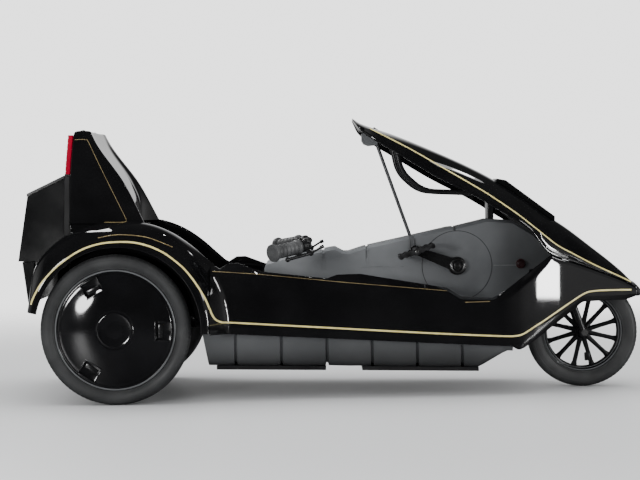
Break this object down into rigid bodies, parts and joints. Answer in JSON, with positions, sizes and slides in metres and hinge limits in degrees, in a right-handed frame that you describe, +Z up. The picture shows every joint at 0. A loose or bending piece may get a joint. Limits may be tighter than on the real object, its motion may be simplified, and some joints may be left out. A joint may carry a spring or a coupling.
{
  "type": "three wheeled car",
  "caption": "Low single-seat tricycle car: black shell with long pod over the pedals, tall seat tower with luggage box, covered rear wheels, spoked front wheel.",
  "frame": {"origin": "on the floor at the centre of the car's length and width", "axes": "+X forward, +Y to the car's left, +Z up"},
  "size_m": [1.7476, 0.744, 0.7769],
  "materials": {
    "body_black": "gloss",
    "cover_black": "gloss",
    "shell_grey": "satin",
    "steel_dark": "satin",
    "steel_bright": "brushed",
    "alloy": "satin",
    "tyre_rubber": "matte",
    "grip_rubber": "matte",
    "lens_red": "gloss",
    "lens_clear": "gloss",
    "knob_red": "gloss",
    "cell_grey": "matte"
  },
  "bodies": {
    "chassis": {"bar_post": "steel_dark", "battery": "cell_grey", "belly_plates": "steel_dark", "boot_box": "body_black", "boot_seal": "grip_rubber", "display_unit": "shell_grey", "fender_left": "body_black", "fender_right": "body_black", "head_tube": "steel_dark", "lamp_housing": "body_black", "lamp_lens": "lens_clear", "lower_shell": "shell_grey", "motor": "alloy", "nose_pod": "body_black", "nose_shell": "body_black", "pod_post": "steel_dark", "pod_rail_left": "steel_dark", "pod_rail_right": "steel_dark", "rear_axle": "steel_bright", "rear_flap": "body_black", "rear_frame": "steel_dark", "seat_tower": "body_black", "seat_tub": "body_black", "side_knob": "knob_red", "sill_left": "body_black", "sill_right": "body_black", "stay_rod": "steel_dark", "tail_lens": "lens_red", "tunnel": "shell_grey"},
    "fork": {"fork": "steel_dark", "front_axle": "steel_bright"},
    "front_wheel": {"tyre_front": "tyre_rubber", "wheel_front": "steel_dark"},
    "handlebar": {"handlebar": "steel_dark", "grip_left": "grip_rubber", "grip_right": "grip_rubber", "brake_lever_left": "steel_dark", "brake_lever_right": "steel_dark"},
    "rear_wheel_left": {"tyre_rear_left": "tyre_rubber", "wheel_rear_left": "cover_black"},
    "rear_wheel_right": {"tyre_rear_right": "tyre_rubber", "wheel_rear_right": "cover_black"},
    "crank": {"crankset": "steel_dark"},
    "pedal_left": {"pedal_left": "steel_dark"},
    "pedal_right": {"pedal_right": "steel_dark"},
    "boot_lid": {"boot_lid": "body_black"}
  },
  "joints": [
    {"name": "steering", "type": "hinge", "parent": "chassis", "child": "fork", "pos_m": [0.704, 0, 0.15875], "axis": [-0.342, 0, 0.9397], "range_deg": [-22, 22]},
    {"name": "bar_turn", "type": "hinge", "parent": "chassis", "child": "handlebar", "pos_m": [-0.104, 0, 0.418], "axis": [0, 0, 1], "range_deg": [-18, 18]},
    {"name": "front_wheel_spin", "type": "hinge", "parent": "fork", "child": "front_wheel", "pos_m": [0.704, 0, 0.15875], "axis": [0, 1, 0], "continuous": true},
    {"name": "rear_left_spin", "type": "hinge", "parent": "chassis", "child": "rear_wheel_left", "pos_m": [-0.6, 0.325, 0.2032], "axis": [0, 1, 0], "continuous": true},
    {"name": "rear_right_spin", "type": "hinge", "parent": "chassis", "child": "rear_wheel_right", "pos_m": [-0.6, -0.325, 0.2032], "axis": [0, 1, 0], "continuous": true},
    {"name": "crank_turn", "type": "hinge", "parent": "chassis", "child": "crank", "pos_m": [0.342, 0, 0.353], "axis": [0, 1, 0], "continuous": true},
    {"name": "pedal_left_turn", "type": "hinge", "parent": "crank", "child": "pedal_left", "pos_m": [0.4615, 0.137, 0.30713], "axis": [0, 1, 0], "continuous": true},
    {"name": "pedal_right_turn", "type": "hinge", "parent": "crank", "child": "pedal_right", "pos_m": [0.2225, -0.137, 0.39887], "axis": [0, 1, 0], "continuous": true},
    {"name": "boot_lid_hinge", "type": "hinge", "parent": "chassis", "child": "boot_lid", "pos_m": [-0.7517, 0, 0.621], "axis": [0, 1, 0], "range_deg": [0, 65]}
  ],
  "couplings": [
    {"joint": "bar_turn", "follows": "steering", "ratio": 0.8}
  ]
}
